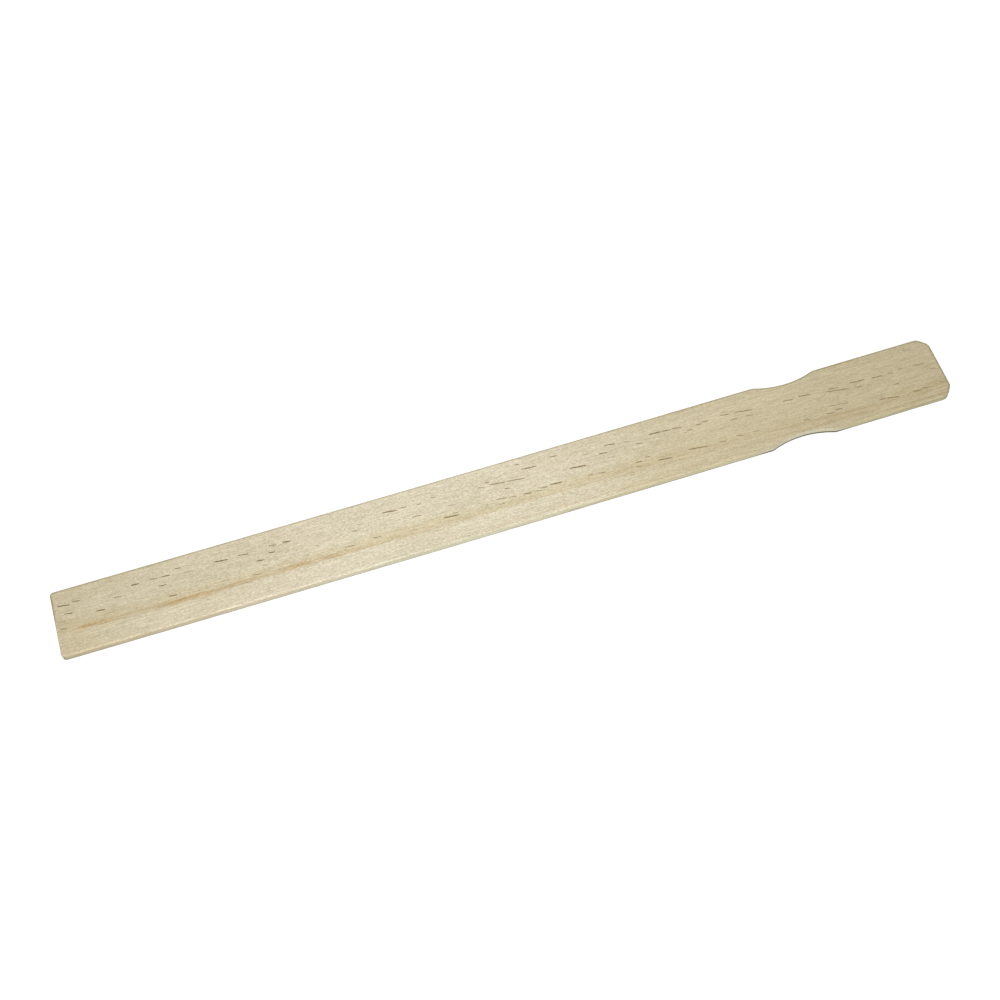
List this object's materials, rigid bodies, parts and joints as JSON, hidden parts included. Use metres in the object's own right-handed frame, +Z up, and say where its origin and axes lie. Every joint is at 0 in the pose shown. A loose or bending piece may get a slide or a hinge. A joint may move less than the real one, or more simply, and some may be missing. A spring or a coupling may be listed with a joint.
{
  "type": "wooden mixing paddle",
  "caption": "Flat pine paddle: long straight blade with a square end, shallow side scallops at the grip and clipped handle corners, for mixing, spreading and shaping.",
  "frame": {"origin": "middle of the stick's footprint, on its flat underside", "axes": "+X along the length from the square blade end to the handle end, +Y across the width towards the shallower scallop, +Z up through the thickness"},
  "size_m": [0.5334, 0.0426, 0.0048],
  "materials": {
    "wood": "bare sanded pine"
  },
  "bodies": {
    "root": {"paddle": "wood"}
  },
  "joints": []
}
